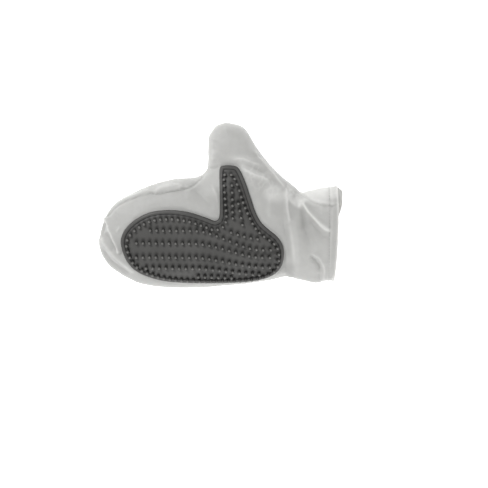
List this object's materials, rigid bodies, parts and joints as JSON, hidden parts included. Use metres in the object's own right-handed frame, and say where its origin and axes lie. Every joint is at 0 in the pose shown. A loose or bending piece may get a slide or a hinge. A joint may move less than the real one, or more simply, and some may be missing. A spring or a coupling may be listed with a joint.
{
  "type": "grooming glove",
  "caption": "Mitten-shaped pet grooming glove: light cloth shell with thumb, gathered wrist and open cuff, and a grey rubber pad with rows of short pins across palm and thumb base.",
  "frame": {"origin": "Bottom centre of the bounding box; the glove lies on its back panel and keeps the shape of the hand in it.", "axes": "+X points from the fingertips to the open cuff, +Y to the thumb tip, +Z out of the pin pad on the palm."},
  "size_m": [0.2391, 0.1624, 0.054],
  "materials": {
    "coated_nylon": "light grey coated nylon cloth with a soft satin sheen",
    "grey_rubber": "dark grey matte moulded rubber",
    "adhesive": "thin clear adhesive film",
    "elastic": "white woven elastic",
    "thread": "grey polyester thread"
  },
  "bodies": {
    "hand": {"palm_panel": "coated_nylon", "back_panel": "coated_nylon", "brush_pad": "grey_rubber", "pad_adhesive": "adhesive", "seam_thread_fingers": "thread", "seam_thread_heel": "thread", "thumb_fold": "coated_nylon", "wrist_gather": "coated_nylon", "wrist_elastic": "elastic"},
    "thumb": {"palm_panel_thumb": "coated_nylon", "back_panel_thumb": "coated_nylon", "seam_thread_thumb": "thread"},
    "cuff": {"palm_panel_cuff": "coated_nylon", "back_panel_cuff": "coated_nylon", "cuff_hem": "coated_nylon", "hem_stitching": "thread", "seam_thread_cuff_upper": "thread", "seam_thread_cuff_lower": "thread"}
  },
  "joints": [
    {"name": "thumb_flex", "type": "hinge", "parent": "hand", "child": "thumb", "pos_m": [0.018, 0.045, 0.032], "axis": [1, 0, 0], "range_deg": [-8, 40], "stiffness_Nm_per_rad": 0.05, "deforming": ["thumb_fold"]},
    {"name": "cuff_flex", "type": "hinge", "parent": "hand", "child": "cuff", "pos_m": [0.074, -0.031, 0.022], "axis": [0, 1, 0], "range_deg": [-25, 25], "stiffness_Nm_per_rad": 0.06, "deforming": ["wrist_gather", "wrist_elastic"]}
  ]
}
